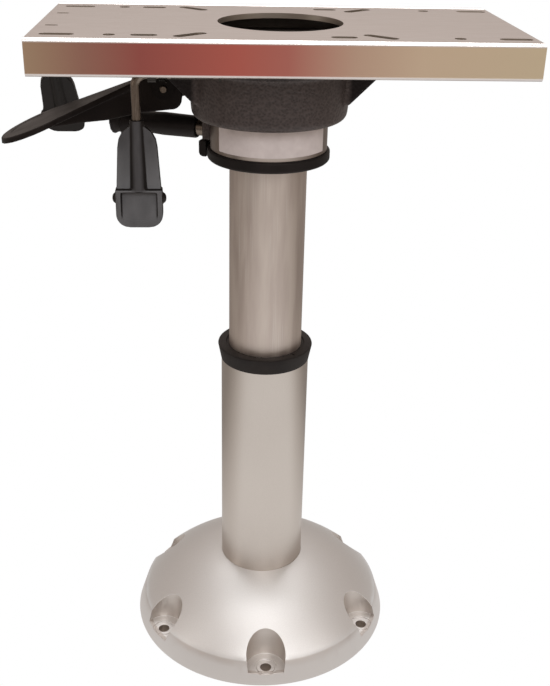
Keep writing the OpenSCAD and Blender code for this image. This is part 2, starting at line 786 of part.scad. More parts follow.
paddle_r = paddle_w / 2;
paddle_x = lever_tip_x - paddle_r;
paddle_cut_z = lever_pivot_z - 70;
paddle_cut_h = 90;

// Keeps the part of its children from depth a to depth b under the lever's upper face
module slope_slice(a, b) {
    intersection() {
        children();
        across(3 * paddle_w) polygon([[-lever_tip_x - 9, slope_z(-lever_tip_x - 9) - b],
            [-lever_joint_x + 9, slope_z(-lever_joint_x + 9) - b],
            [-lever_joint_x + 9, slope_z(-lever_joint_x + 9) - a],
            [-lever_tip_x - 9, slope_z(-lever_tip_x - 9) - a]]);
    }
}

module height_lever() color([0.15, 0.13, 0.12]) difference() {
    union() {
        across(lever_w) lever_side();
        slope_slice(0, flange_t) translate([-paddle_x, 0, paddle_cut_z])
            cylinder(h = paddle_cut_h, r = paddle_r);
        slope_slice(0, flange_t) translate([0, 0, paddle_cut_z]) linear_extrude(paddle_cut_h) polygon([
            [-paddle_x - 6, paddle_r - 1], [-paddle_x, paddle_r], [-lever_joint_x, lever_w / 2],
            [-lever_joint_x, -lever_w / 2], [-paddle_x, -paddle_r], [-paddle_x - 6, -paddle_r + 1]]);
    }
    // Channel for the release arm, open underneath
    across(arm_t + 2 * press) polygon([[-lever_pivot_x - 18, lever_pivot_z - 40],
        [-lever_pivot_x - 18, lever_pivot_z + 3.2], [-lever_pivot_x - 12, lever_pivot_z + 5],
        [-lever_pivot_x - 3, lever_pivot_z + 9], [-lever_right + 5, lever_pivot_z + 9],
        [-lever_right + 5, lever_pivot_z - 40]]);
    translate([-lever_pivot_x, 0, lever_pivot_z]) rotate([90, 0, 0])
        cylinder(h = lever_w + 2 * over, d = lever_pin_d + 2 * running, center = true);
    // Groove that follows the back of the tip
    slope_slice(-1, 1) translate([-paddle_x, 0, paddle_cut_z]) difference() {
        cylinder(h = paddle_cut_h, r = paddle_r - 7);
        translate([0, 0, -over]) cylinder(h = paddle_cut_h + 2 * over, r = paddle_r - 9);
        translate([0, -paddle_w, -over]) cube([paddle_w, 2 * paddle_w, paddle_cut_h + 2 * over]);
        translate([-paddle_w, -paddle_w - 5, -over]) cube([2 * paddle_w, paddle_w, paddle_cut_h + 2 * over]);
    }
}

arm_rise = button_top + loose - lever_pivot_z;
arm_tail = 16;
arm_half = 8;
arm_neck_x = 40;
pad_r = 7;
pad_t = 2.5;

module release_arm() color("gray") difference() {
    union() {
        across(arm_t) polygon([
            [-lever_pivot_x - arm_tail, lever_pivot_z - arm_half + 1],
            [-lever_pivot_x + arm_half, lever_pivot_z - arm_half],
            [-arm_neck_x, lever_pivot_z + 0.5], [-pad_r - 9, lever_pivot_z + arm_rise],
            [pad_r - 1, lever_pivot_z + arm_rise],
            [pad_r - 1, lever_pivot_z + arm_rise + pad_r], [-pad_r - 13, lever_pivot_z + arm_rise + pad_r],
            [-arm_neck_x - 6, lever_pivot_z + arm_half + 1],
            [-lever_pivot_x + arm_half, lever_pivot_z + arm_half],
            [-lever_pivot_x - arm_tail + 4, lever_pivot_z + arm_half / 2]]);
        translate([0, 0, lever_pivot_z + arm_rise]) cylinder(h = pad_t, r = pad_r);
    }
    translate([-lever_pivot_x, 0, lever_pivot_z]) rotate([90, 0, 0])
        cylinder(h = arm_t + 2 * over, d = lever_pin_d + 2 * press, center = true);
}

// Seat plate

module plate_section() {
    half = plate_w / 2;
    difference() {
        union() {
            translate([-half + bead_r, deck_under]) square([plate_w - 2 * bead_r, deck_t]);
            for (side = [-1, 1]) {
                translate([side * (half - bead_r), plate_top - bead_r]) circle(r = bead_r);
                translate([side * (half - plate_wall / 2) - plate_wall / 2, plate_z + bead_r])
                    square([plate_wall, plate_h - 2 * bead_r]);
                translate([side * (half - bead_r), plate_z + bead_r]) circle(r = bead_r);
                translate([side * (half - bead_r / 2 - lip_w / 2) - (lip_w - bead_r) / 2, plate_z])
                    square([lip_w - bead_r, lip_t]);
            }
        }
        translate([-wall_in, lip_top]) square([2 * wall_in, deck_under - lip_top]);
    }
}

module seat_plate() color("tan") translate([slide_rest, 0, 0]) difference() {
    along_x(plate_l) plate_section();
    translate([0, 0, deck_under - 1]) cylinder(h = 10, d = deck_hole_d);
    for (side = [-1, 1]) {
        slot(end_slot_right, side * row_y, end_slot_l, slot_w, deck_under - 1, 10);
        slot(-end_slot_left, side * row_y, end_slot_l, slot_w, deck_under - 1, 10);
        slot(mid_slot_right, side * row_y, mid_slot_l, slot_w, deck_under - 1, 10);
        slot(-mid_slot_left, side * row_y, mid_slot_l, slot_w, deck_under - 1, 10);
        slot(-tab_slot_x, side * tab_slot_y, 9, 4, deck_under - 1, 10);
        for (end = [-1, 1]) {
            translate([end * round_hole_x, side * row_y, deck_under - 1]) cylinder(h = 10, d = slot_w);
            slot(end * slant_x, side * slant_y, slant_l, slot_w, deck_under - 1, 10, 41 * side * end);
        }
        for (x = [-stop_left, stop_right]) translate([x, side * stop_y, deck_under - 1])
            cylinder(h = stop_seat + 1, r = stop_r);
        // Notches in the lips
        for (k = [-notches_right:notches_left])
            translate([dog_x - slide_rest + k * notch_pitch - notch_w / 2,
                side * lip_in - (side > 0 ? 1 : notch_depth), plate_z - 1])
                cube([notch_w, notch_depth + 1, lip_t + 2]);
    }
}

module stop_pins() color("silver") for (side = [-1, 1]) for (x = [-stop_left, stop_right])
    translate([slide_rest + x, side * stop_y, rail_bottom])
        cylinder(h = deck_under + stop_seat - rail_bottom, r = stop_r - press);

// Slide locks

bend_r = 8;

// Rod in the plane of X and Z: a run to the right and a leg down, seen from its bend
module lock_rod(leg_x, run_end, leg_l) {
    translate([-leg_x + bend_r, 0, 0]) rotate([0, 90, 0]) cylinder(h = leg_x - bend_r + run_end, r = rod_r2);
    translate([-leg_x + bend_r, 0, -bend_r]) rotate([90, 0, 0]) rotate_extrude_quarter();
    translate([-leg_x, 0, -leg_l]) cylinder(h = leg_l - bend_r, r = rod_r2);
}

module rotate_extrude_quarter() {
    intersection() {
        rotate_extrude() translate([bend_r, 0]) circle(r = rod_r2);
        translate([-2 * bend_r, 0, -bend_r]) cube([2 * bend_r, 2 * bend_r, 2 * bend_r]);
    }
}

rod_run_end = nut_x + nut_t + 1;
rod_in_grip = 40;
rod_leg_l = grip_drop + rod_in_grip;

module front_rod() color("silver") translate([0, -rod_y, rod_z])
    lock_rod(front_leg_x, rod_run_end, rod_leg_l);

module rear_rod() color("silver") translate([0, rod_y, rod_z]) rotate([rear_tilt, 0, 0])
    lock_rod(rear_leg_x, rod_run_end, rod_leg_l);

// Hanging grip: origin on the rod's axis, hanging down, with its face towards -Y
module grip() {
    top = -grip_drop;
    ledge = top - ledge_drop;
    foot = top - grip_l;
    corner = 9.5;
    difference() {
        union() {
            translate([0, 0, ledge]) cylinder(h = -ledge + top, r1 = tube_r + 1.5, r2 = tube_r);
            // Flat wings with rounded shoulders
            translate([0, panel_t / 2, 0]) rotate([90, 0, 0]) linear_extrude(panel_t) union() {
                polygon([[-grip_shoulder_w / 2, top - 19], [-grip_ledge_w / 2, ledge],
                    [grip_ledge_w / 2, ledge], [grip_shoulder_w / 2, top - 19],
                    [grip_shoulder_w / 2 - 1, top - 13.5], [grip_shoulder_w / 2 - 4, top - 8],
                    [tube_r, top - 4], [-tube_r, top - 4],
                    [-grip_shoulder_w / 2 + 4, top - 8], [-grip_shoulder_w / 2 + 1, top - 13.5]]);
            }
            // Tray at the foot
            translate([0, panel_t / 2 + 1, 0]) rotate([90, 0, 0]) linear_extrude(tray_t) {
                for (side = [-1, 1]) translate([side * (tray_w / 2 - corner), foot + corner])
                    circle(r = corner);
                translate([-tray_w / 2 + corner, foot]) square([tray_w - 2 * corner, ledge - foot + 1]);
                translate([-tray_w / 2, foot + corner]) square([tray_w, ledge - foot - corner + 1]);
            }
            // Round bar whose ends stand out at the sides
            translate([-ear_l / 2, 0.5, ledge - ear_r - 2]) rotate([0, 90, 0]) rotate_extrude() polygon([
                [0, 0], [ear_r - 2.6, 0], [ear_r - 0.9, 0.9], [ear_r, 2.6], [ear_r, ear_l - 2.6],
                [ear_r - 0.9, ear_l - 0.9], [ear_r - 2.6, ear_l], [0, ear_l]]);
        }
        // Hollow of the tray, deep under the ledge and running out towards the foot
        translate([0, 0, ledge - 1]) rotate([0, 90, 0]) translate([0, 0, -tray_w / 2 + 4])
            linear_extrude(tray_w - 8) polygon([[0, -tray_t], [0, -0.5],
                [ledge - foot - 6, -tray_t + panel_t / 2 + 1.2],
                [ledge - foot - 6, -tray_t]]);
        translate([0, 0, top - rod_in_grip]) cylinder(h = rod_in_grip + over, r = grip_bore);
    }
}

module front_grip() color("black") translate([-front_leg_x, -rod_y, rod_z]) grip();

module rear_grip() color("black") translate([-rear_leg_x, rod_y, rod_z]) rotate([rear_tilt, 0, 0])
    mirror([0, 1, 0]) grip();

// Dog: a ring on the rod with a finger that stands in a notch of the lip
module dog(side) {
    reach = lip_in + notch_depth - 1 - rod_y;
    low = lip_top - lip_t + 0.4 - rod_z;
    high = lip_top - 0.4 - rod_z;
    translate([dog_x - dog_w / 2, side * rod_y, rod_z]) mirror([0, side > 0 ? 1 : 0, 0]) difference() {
        union() {
            rotate([0, 90, 0]) cylinder(h = dog_w, r = dog_ring_r);
            rotate([90, 0, 90]) linear_extrude(dog_w) polygon([
                [0, rod_r2 + 0.8], [0, -rod_r2 - 0.8], [-3.8, -rod_r2 + 0.8], [-reach + 3, low],
                [-reach, low], [-reach, high], [-reach + 5, high + 1]]);
        }
        translate([-1, 0, 0]) rotate([0, 90, 0]) cylinder(h = dog_w + 2, r = rod_r2 + press);
    }
}

module front_dog() color("gray") dog(-1);

module rear_dog() color("gray") dog(1);

module push_nut(side) translate([nut_x, side * rod_y, rod_z]) rotate([0, 90, 0])
    ring(rod_r2 + nut_wall, rod_r2 + press, 0, nut_t);

module front_push_nut() color("silver") push_nut(-1);

module rear_push_nut() color("silver") push_nut(1);

// Torsion springs round the rods, with one leg under the carriage
module torsion_spring(side) {
    spring_r = rod_r2 + 1.1;
    spring_l = 6.2;
    translate([dog_x + dog_w / 2 + 1, side * rod_y, rod_z]) rotate([0, 90, 0])
        wire(concat([[spring_r, -6 * side, 0]], coil(spring_r, 4, spring_l),
            [[spring_r, 7 * side, spring_l]]), 0.5);
}

module front_lock_spring() color("silver") torsion_spring(-1);

module rear_lock_spring() color("silver") torsion_spring(1);

// Swivel lock

module lock_sleeve() color("silver") along_lock() difference() {
    translate([0, 0, neck_r + 0.6]) cylinder(h = lock_sleeve_end - neck_r - 0.6, r = lock_sleeve_r - press);
    translate([0, 0, neck_r - 1]) cylinder(h = 20, r = pin_r + running);
    translate([0, 0, block_r]) cylinder(h = lock_sleeve_end - 2 - block_r, r = lock_chamber_r);
    translate([0, 0, block_r]) cylinder(h = 40, r = lock_stem_r + running);
}

module lock_pin() color("silver") along_lock() {
    translate([0, 0, lock_tip]) cylinder(h = 1, r1 = pin_r - 1, r2 = pin_r);
    translate([0, 0, lock_tip + 1]) cylinder(h = lock_collar_at - lock_tip - 1, r = pin_r);
    translate([0, 0, lock_collar_at]) cylinder(h = lock_collar_t, r = lock_collar_r);
    translate([0, 0, lock_collar_at + lock_collar_t])
        cylinder(h = lock_stem_end - lock_collar_at - lock_collar_t, r = lock_stem_r);
}

module lock_spring() color("silver") along_lock()
    translate([0, 0, lock_collar_at + lock_collar_t + 0.6])
        wire(coil(4.1, 6, lock_sleeve_end - 2 - lock_collar_at - lock_collar_t - 1.2), 0.4);

module swivel_grip() color("black") along_lock() difference() {
    rotate_extrude() polygon(concat(
        [[0, pull_start], [pull_r - 1, pull_start], [pull_r, pull_start + 1.5],
         [pull_r + 0.4, pull_start + 0.4 * pull_l], [pull_r - 0.6, pull_start + 0.66 * pull_l],
         [pull_r + 2, pull_start + 0.76 * pull_l], [pull_flare_r - 1.5, pull_end - 12]],
        bulge([pull_flare_r - 1.5, pull_end - 12], [pull_flare_r - 5, pull_end - 1], 3.6, 6),
        [[0, pull_end]]));
    translate([0, 0, pull_start - 1])
        cylinder(h = pull_bore_end - pull_start + 1, r = lock_sleeve_r + loose);
    translate([0, 0, pull_start]) cylinder(h = lock_stem_end - pull_start, r = lock_stem_r + press / 2);
}

base_casting();
outer_tube();
tube_bush();
spring_foot();
gas_rod();
rod_clip();
inner_tube();
guide_ring();
index_collar();
neck_ring();
post_cap();
gas_cylinder();
cylinder_clip();
valve_button();
neck_sleeve();
swivel_bush();
top_casting();
block_cap();
carriage();
rod_blocks();
glide_front();
glide_rear();
casting_screws();
lever_bracket();
bracket_rivets();
lever_pin();
lock_sleeve();
lock_spring();
front_lock_spring();
rear_lock_spring();
seat_plate();
stop_pins();
height_lever();
release_arm();
front_rod();
front_grip();
front_dog();
front_push_nut();
rear_rod();
rear_grip();
rear_dog();
rear_push_nut();
lock_pin();
swivel_grip();
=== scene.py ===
# %% [markdown]
# A boat seat pedestal: a round cast base, a gas lift column, a swivelling top and a seat slide.
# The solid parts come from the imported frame, in metres, with Z up. This script gives them their
# materials, adds the pieces that only the looks need, and sets up the camera and the light.

# %% Load the frame
import bpy
import math
from mathutils import Matrix, Vector
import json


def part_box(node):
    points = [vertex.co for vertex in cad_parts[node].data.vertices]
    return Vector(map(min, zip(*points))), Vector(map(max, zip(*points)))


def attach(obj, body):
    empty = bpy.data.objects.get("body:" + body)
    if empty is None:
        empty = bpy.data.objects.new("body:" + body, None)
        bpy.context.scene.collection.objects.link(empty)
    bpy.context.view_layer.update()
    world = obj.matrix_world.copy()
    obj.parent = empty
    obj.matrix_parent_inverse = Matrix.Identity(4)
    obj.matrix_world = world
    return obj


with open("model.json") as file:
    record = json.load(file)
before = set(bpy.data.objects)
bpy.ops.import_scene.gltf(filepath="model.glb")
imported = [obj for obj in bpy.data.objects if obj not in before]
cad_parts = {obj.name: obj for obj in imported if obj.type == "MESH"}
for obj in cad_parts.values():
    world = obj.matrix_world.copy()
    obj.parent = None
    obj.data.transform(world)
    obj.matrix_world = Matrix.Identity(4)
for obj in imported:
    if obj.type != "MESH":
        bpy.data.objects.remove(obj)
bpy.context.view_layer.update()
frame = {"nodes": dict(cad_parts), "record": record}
nodes = frame["nodes"]

MM = 0.001

# %% [markdown]
# The camera looks down at the pedestal from the front. Its place and angles were fitted to the
# photograph with the sizes of the base, the tubes and the seat plate. Three angles could be set on
# the camera itself, but the order of the turns would be hidden in them, so its right, up and
# forward directions are worked out instead.

# %% Camera
CAMERA_PLACE = Vector((-41.54, -763.30, 637.70)) * MM
PITCH_DOWN = math.radians(25.676)
YAW_RIGHT = math.radians(3.743)
ROLL = math.radians(1.316)
FOCAL_PX = 1008.4
PHOTO_SIZE = (550, 686)
SENSOR_MM = 36.0
NEAREST_SEEN = 10 * MM


def make_camera():
    forward = Vector((math.sin(YAW_RIGHT) * math.cos(PITCH_DOWN),
                      math.cos(YAW_RIGHT) * math.cos(PITCH_DOWN),
                      -math.sin(PITCH_DOWN)))
    right = Vector((math.cos(YAW_RIGHT), -math.sin(YAW_RIGHT), 0.0))
    up = right.cross(forward)
    rolled_right = math.cos(ROLL) * right + math.sin(ROLL) * up
    rolled_up = math.cos(ROLL) * up - math.sin(ROLL) * right
    data = bpy.data.cameras.new("camera")
    data.sensor_width = SENSOR_MM
    data.lens = FOCAL_PX * SENSOR_MM / max(PHOTO_SIZE)
    data.clip_start = NEAREST_SEEN
    camera = bpy.data.objects.new("camera", data)
    turned = Matrix((rolled_right, rolled_up, -forward)).transposed().to_4x4()
    turned.translation = CAMERA_PLACE
    camera.matrix_world = turned
    bpy.context.scene.collection.objects.link(camera)
    bpy.context.scene.camera = camera
    return camera


camera = make_camera()
print("camera lens in mm", round(camera.data.lens, 2))

# %% [markdown]
# A material is a tree of small nodes, joined from socket to socket. Written out in full, each node
# takes several lines, so these helpers add a node and fill its sockets in one call.

# %% Helpers for node trees


def feed(tree, node, inputs):
    """Fills a node's sockets, named with _ for a space or numbered i0, i1, with links or values.
    A colour is three numbers, and gets its alpha here."""
    for name, value in inputs.items():
        numbered = name[0] == "i" and name[1:].isdigit()
        socket = node.inputs[int(name[1:]) if numbered else name.replace("_", " ")]
        if isinstance(value, bpy.types.NodeSocket):
            tree.links.new(value, socket)
        elif socket.type == "RGBA":
            socket.default_value = (*value, 1.0)
        else:
            socket.default_value = value
    return node


def add(tree, kind, settings=None, **inputs):
    """One node of that kind. Settings are its properties."""
    node = tree.nodes.new(kind)
    for name, value in (settings or {}).items():
        setattr(node, name, value)
    return feed(tree, node, inputs)


def math_node(tree, operation, a, b=0.0):
    return add(tree, "ShaderNodeMath", {"operation": operation}, i0=a, i1=b).outputs["Value"]


def vector_math(tree, operation, **inputs):
    return add(tree, "ShaderNodeVectorMath", {"operation": operation}, **inputs).outputs


def mix_value(tree, factor, a, b):
    return add(tree, "ShaderNodeMix", {"data_type": "FLOAT"}, i0=factor, i2=a, i3=b).outputs[0]


def mix_colour(tree, factor, a, b):
    return add(tree, "ShaderNodeMix", {"data_type": "RGBA"}, i0=factor, i6=a, i7=b).outputs[2]


print("helpers for node trees are ready")

# %% [markdown]
# A mask is a value between 0 and 1 that says where a colour belongs. Most masks here compare a
# place or a direction with two limits, because an edge with a little width doesn't flicker.

# %% Masks


def ramp(tree, value, start, end, out_start=0.0, out_end=1.0):
    """Goes from one value to the other between the two limits, and stays level beyond them."""
    return add(tree, "ShaderNodeMapRange", {"clamp": True}, Value=value, From_Min=start, From_Max=end,
               To_Min=out_start, To_Max=out_end).outputs["Result"]


def fade(tree, value, start, end):
    """1 up to the start and 0 from the end on."""
    return ramp(tree, value, start, end, 1.0, 0.0)


def both(tree, a, b):
    """1 where both masks are 1."""
    return math_node(tree, "MULTIPLY", a, b)


def either(tree, a, b):
    """1 where one of the masks is 1."""
    return math_node(tree, "MAXIMUM", a, b)


def split(tree, vector):
    """A vector's numbers, as the sockets X, Y and Z."""
    return add(tree, "ShaderNodeSeparateXYZ", Vector=vector).outputs


def facing(tree, kind="Normal"):
    """The way that the surface faces: Z is 1 on top of a piece, and Y is -1 on its front."""
    return split(tree, add(tree, "ShaderNodeNewGeometry").outputs[kind])


def distance_from_axis(tree, place):
    """How far a place is from the upright line through the middle of the post."""
    level = vector_math(tree, "MULTIPLY", i0=place, i1=(1.0, 1.0, 0.0))["Vector"]
    return vector_math(tree, "LENGTH", i0=level)["Value"]


post_low, post_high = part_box("inner_tube")
print("middle of the post", [round(value, 4) for value in (post_low + post_high) / 2])

# %% [markdown]
# An effect that several materials share is built once, as a node group with named sockets, and
# each material places it with its own values.

# %% Helpers for node groups
FLOAT = "NodeSocketFloat"
VECTOR = "NodeSocketVector"


def new_group(name, inputs, output):
    """An empty node group with named sockets, its input node and its output node."""
    tree = bpy.data.node_groups.new(name, "ShaderNodeTree")
    for socket_name, kind, default in inputs:
        socket = tree.interface.new_socket(socket_name, in_out="INPUT", socket_type=kind)
        if default is not None:
            socket.default_value = default
    tree.interface.new_socket(output, in_out="OUTPUT", socket_type=FLOAT)
    return tree, add(tree, "NodeGroupInput").outputs, add(tree, "NodeGroupOutput")


def use_group(tree, group, output, **inputs):
    return add(tree, "ShaderNodeGroup", {"node_tree": group}, **inputs).outputs[output]


print("node groups so far", len(bpy.data.node_groups))

# %% [markdown]
# Every surface here has a grain that is too fine to model: blasted or brushed metal, moulded
# plastic, paint. Noise gives it. Its place is in metres, so a scale of 1000 makes grains about a
# millimetre wide, and a small number in the stretch draws them out along that axis as brush marks.

# %% Grain
NO_STRETCH = (1.0, 1.0, 1.0)
NOISE_LIMITS = (0.3, 0.7)


def make_grain_group():
    """Noise between 0 and 1, with its own stretch."""
    tree, entry, leave = new_group("grain", [
        ("Place", VECTOR, None), ("Stretch", VECTOR, NO_STRETCH), ("Scale", FLOAT, 900.0),
        ("Detail", FLOAT, 3.0)], "Value")
    stretched = vector_math(tree, "MULTIPLY", i0=entry["Place"], i1=entry["Stretch"])["Vector"]
    noise = add(tree, "ShaderNodeTexNoise", Vector=stretched, Scale=entry["Scale"], Detail=entry["Detail"])
    feed(tree, leave, {"Value": noise.outputs["Fac"]})
    return tree


grain_group = make_grain_group()


def grain(tree, place, scale, stretch=NO_STRETCH, detail=3.0):
    return use_group(tree, grain_group, "Value", Place=place, Scale=scale, Stretch=stretch, Detail=detail)


def spread(tree, noise, low=0.0, high=1.0):
    """Noise seldom leaves the middle of its range, so the middle is drawn out to the two values."""
    return ramp(tree, noise, *NOISE_LIMITS, low, high)


def two_tones(tree, noise, tones, limits=NOISE_LIMITS):
    """The first of two colours where the noise is low, and the second where it is high."""
    return mix_colour(tree, ramp(tree, noise, *limits), *tones)


print("grain group sockets", [item.name for item in grain_group.interface.items_tree])

# %% [markdown]
# The lift tube slides in a plastic bush, which leaves thin marks along its length. Two noises are
# drawn out along Z, and a mark shows where both are high, so the marks come in patches as they do
# on a used tube.

# %% Scratches
LONG_AND_THIN = (1.0, 1.0, 0.012)
LONG_AND_BROAD = (1.0, 1.0, 0.1)
MARK_LIMITS = (0.56, 0.7)
WORN_LIMITS = (0.45, 0.62)


def make_scratch_group():
    """A mask of thin marks along Z."""
    tree, entry, leave = new_group("scratches", [
        ("Place", VECTOR, None), ("Amount", FLOAT, 0.5), ("Scale", FLOAT, 1400.0)], "Mask")
    thin = vector_math(tree, "MULTIPLY", i0=entry["Place"], i1=LONG_AND_THIN)["Vector"]
    broad = vector_math(tree, "MULTIPLY", i0=entry["Place"], i1=LONG_AND_BROAD)["Vector"]
    lines = add(tree, "ShaderNodeTexNoise", Vector=thin, Scale=entry["Scale"], Detail=2.0)
    patches = add(tree, "ShaderNodeTexNoise", Vector=broad, Scale=90.0, Detail=2.0)
    marks = ramp(tree, lines.outputs["Fac"], *MARK_LIMITS)
    worn = ramp(tree, patches.outputs["Fac"], *WORN_LIMITS)
    feed(tree, leave, {"Mask": both(tree, both(tree, marks, worn), entry["Amount"])})
    return tree


scratch_group = make_scratch_group()
print("scratch group sockets", [item.name for item in scratch_group.interface.items_tree])

# %% [markdown]
# Hammered paint draws itself into small round dimples as it dries. A Voronoi texture gives round
# cells with ridges between them, and a noise moves each place a little first, so that no two
# dimples are alike.

# %% Hammered dimples
DIMPLE_WOBBLE = 1.2 * MM
DIMPLE_LIMITS = (0.1, 0.75)


def make_hammer_group():
    """The height of hammered paint."""
    tree, entry, leave = new_group("hammered", [
        ("Place", VECTOR, None), ("Scale", FLOAT, 520.0)], "Height")
    wobble = add(tree, "ShaderNodeTexNoise", Vector=entry["Place"], Scale=300.0, Detail=1.0)
    moved = vector_math(tree, "MULTIPLY_ADD", i0=wobble.outputs["Color"], i1=(DIMPLE_WOBBLE,) * 3,
                        i2=entry["Place"])["Vector"]
    cells = add(tree, "ShaderNodeTexVoronoi", {"feature": "SMOOTH_F1"},
                Vector=moved, Scale=entry["Scale"], Smoothness=0.6)
    feed(tree, leave, {"Height": ramp(tree, cells.outputs["Distance"], *DIMPLE_LIMITS)})
    return tree


hammer_group = make_hammer_group()
print("node groups", sorted(group.name for group in bpy.data.node_groups))

# %% [markdown]
# Every material starts from the same three nodes: the place on the piece, a Principled shader and
# the output. Colours are linear.

# %% Material starter


def empty_tree(owner):
    """The node tree of a material or a world, without nodes."""
    owner.use_nodes = True
    owner.node_tree.nodes.clear()
    return owner.node_tree


def start_material(name):
    """A material with one Principled shader. Returns it with its tree, shader and object place."""
    material = bpy.data.materials.new(name)
    tree = empty_tree(material)
    shader = add(tree, "ShaderNodeBsdfPrincipled")
    add(tree, "ShaderNodeOutputMaterial", Surface=shader.outputs["BSDF"])
    return material, tree, shader, add(tree, "ShaderNodeTexCoord").outputs["Object"]


def put(tree, shader, **inputs):
    feed(tree, shader, inputs)


def bump(tree, height, distance):
    return add(tree, "ShaderNodeBump", Height=height, Distance=distance).outputs["Normal"]


# %% [markdown]
# The outer tube is anodised aluminium, and the carriage, the rods, the springs and the fasteners
# are darker metals. Painted patterns would need a map for each piece, and noise needs none and has
# no seam. A fine grain changes colour, roughness and height together, and a broad one adds faint
# patches.

# %% Plain metals
PATCH_SCALE = 14.0
PATCH_SHARE = 0.35
ROUGHNESS_SPREAD = 0.04
GRAIN_HEIGHT = 0.03 * MM


def metal(name, dark, light, roughness, stretch=NO_STRETCH, scale=1200.0):
    material, tree, shader, place = start_material(name)
    fine = grain(tree, place, scale, stretch)
    patches = grain(tree, place, PATCH_SCALE, detail=1.0)
    shade = mix_value(tree, PATCH_SHARE, spread(tree, fine), spread(tree, patches))
    put(tree, shader, Base_Color=mix_colour(tree, shade, dark, light), Metallic=1.0,
        Roughness=spread(tree, fine, roughness - ROUGHNESS_SPREAD, roughness + ROUGHNESS_SPREAD),
        Normal=bump(tree, fine, GRAIN_HEIGHT))
    return material


materials = {
    "outer_tube_alloy": metal("fixed_tube", dark=(0.545, 0.485, 0.438), light=(0.615, 0.555, 0.503),
                              roughness=0.32, scale=1800.0),
    "carriage_alloy": metal("carriage_metal", dark=(0.10, 0.09, 0.08), light=(0.15, 0.135, 0.12),
                            roughness=0.45, stretch=(0.03, 1.0, 1.0)),
    "plated_steel": metal("plated_steel", dark=(0.030, 0.026, 0.023), light=(0.055, 0.048, 0.043),
                          roughness=0.4),
    "rod_steel": metal("rod_steel", dark=(0.15, 0.12, 0.095), light=(0.25, 0.205, 0.17),
                       roughness=0.3, stretch=(1.0, 1.0, 0.1)),
    "spring_steel": metal("spring_steel", dark=(0.030, 0.027, 0.024), light=(0.050, 0.045, 0.040),
                          roughness=0.35),
}
print("plain metals", sorted(materials))

# %% [markdown]
# The lift tube is anodised aluminium too, with brownish streaks and bright marks from sliding in
# the bush. Both run along the tube, so the noise for them is drawn out along Z.

# %% Lift tube
TUBE_TONES = ((0.575, 0.49, 0.44), (0.67, 0.59, 0.53))
TUBE_ROUGHNESS = (0.44, 0.54)
STREAK_LIMITS = (0.36, 0.62)
RUBBED_BRIGHT = (0.76, 0.72, 0.68)
BRUSHED_HEIGHT = 0.02 * MM


def worn_tube():
    material, tree, shader, place = start_material("lift_tube")
    marks = use_group(tree, scratch_group, "Mask", Place=place, Amount=0.6)
    fine = grain(tree, place, scale=900.0, stretch=(1.0, 1.0, 0.04))
    streaks = grain(tree, place, scale=110.0, stretch=(1.0, 1.0, 0.12))
    streaked = two_tones(tree, streaks, TUBE_TONES, STREAK_LIMITS)
    put(tree, shader, Base_Color=mix_colour(tree, marks, streaked, RUBBED_BRIGHT), Metallic=1.0,
        Roughness=spread(tree, streaks, *TUBE_ROUGHNESS), Normal=bump(tree, fine, BRUSHED_HEIGHT))
    return material


materials["inner_tube_alloy"] = worn_tube()
print("lift tube radius in mm", round(post_high.x / MM, 2))

# %% [markdown]
# The base is cast aluminium, blasted to an even matt, and its dome keeps the plain tone. The walls of the
# screw pockets and the outer rim get a painted shade, a little darker and browner. The material finds them
# by the way that they face and by their distance from the axis. No part of the mesh has to be marked for
# that.

# %% Base casting
BASE_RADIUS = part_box("base_casting")[1].x
RIM_START = BASE_RADIUS - 7.2 * MM
RIM_END = BASE_RADIUS - 6.2 * MM
DOME_TONES = ((0.75, 0.745, 0.74), (0.81, 0.808, 0.805))
POCKET_SHADE_TONES = ((0.58, 0.53, 0.49), (0.63, 0.58, 0.54))
RIM_SHADE_COLOUR = (0.62, 0.585, 0.56)
CAST_ROUGHNESS = (0.44, 0.52)
UPRIGHT_FACES = (0.1, 0.45)


def cast_metal():
    material, tree, shader, place = start_material("cast_base")
    fine = grain(tree, place, scale=1600.0)
    upright = fade(tree, facing(tree)["Z"], *UPRIGHT_FACES)
    dome = two_tones(tree, fine, DOME_TONES)
    # Painted shade: the upright walls of the pockets and the rim are darker and browner than the dome.
    pocket = two_tones(tree, fine, POCKET_SHADE_TONES)
    inner = mix_colour(tree, upright, dome, pocket)
    at_rim = ramp(tree, distance_from_axis(tree, place), RIM_START, RIM_END)
    put(tree, shader, Base_Color=mix_colour(tree, at_rim, inner, RIM_SHADE_COLOUR), Metallic=1.0,
        Roughness=spread(tree, fine, *CAST_ROUGHNESS), Normal=bump(tree, fine, GRAIN_HEIGHT))
    return material


materials["base_alloy"] = cast_metal()
print("base radius in mm", round(BASE_RADIUS / MM, 2))

# %% [markdown]
# The neck is a satin sleeve, pale where it faces the front and dark where it turns to the sides.
# More lamps would give that too, but they would light every other piece as well, so the tone
# follows the way that the surface faces.

# %% Neck
NECK_LOW, NECK_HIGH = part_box("neck_sleeve")
NECK_TONES = ((0.24, 0.19, 0.165), (0.29, 0.24, 0.205))
NECK_FRONT = (0.60, 0.53, 0.48)
FRONT_FACES = (-0.98, -0.6)


def neck_metal():
    material, tree, shader, place = start_material("neck_metal")
    fine = grain(tree, place, scale=1200.0, stretch=(1.0, 1.0, 0.2))
    front = fade(tree, facing(tree)["Y"], *FRONT_FACES)
    put(tree, shader, Base_Color=mix_colour(tree, front, two_tones(tree, fine, NECK_TONES), NECK_FRONT),
        Metallic=1.0, Roughness=0.36, Normal=bump(tree, fine, BRUSHED_HEIGHT))
    return material


materials["neck_alloy"] = neck_metal()
print("neck radius in mm", round(NECK_HIGH.x / MM, 2))

# %% [markdown]
# The seat plate is pressed from sheet: a matt deck, brushed walls, and a smooth bead along the top
# and the foot of each long wall. Its front wall mirrors a warm room. A room could be built for it,
# but a colour ramp along the wall gives the same image: each stop is a share of the plate's
# length, with its colour. A pair of places or directions is where a mask starts and where it ends.

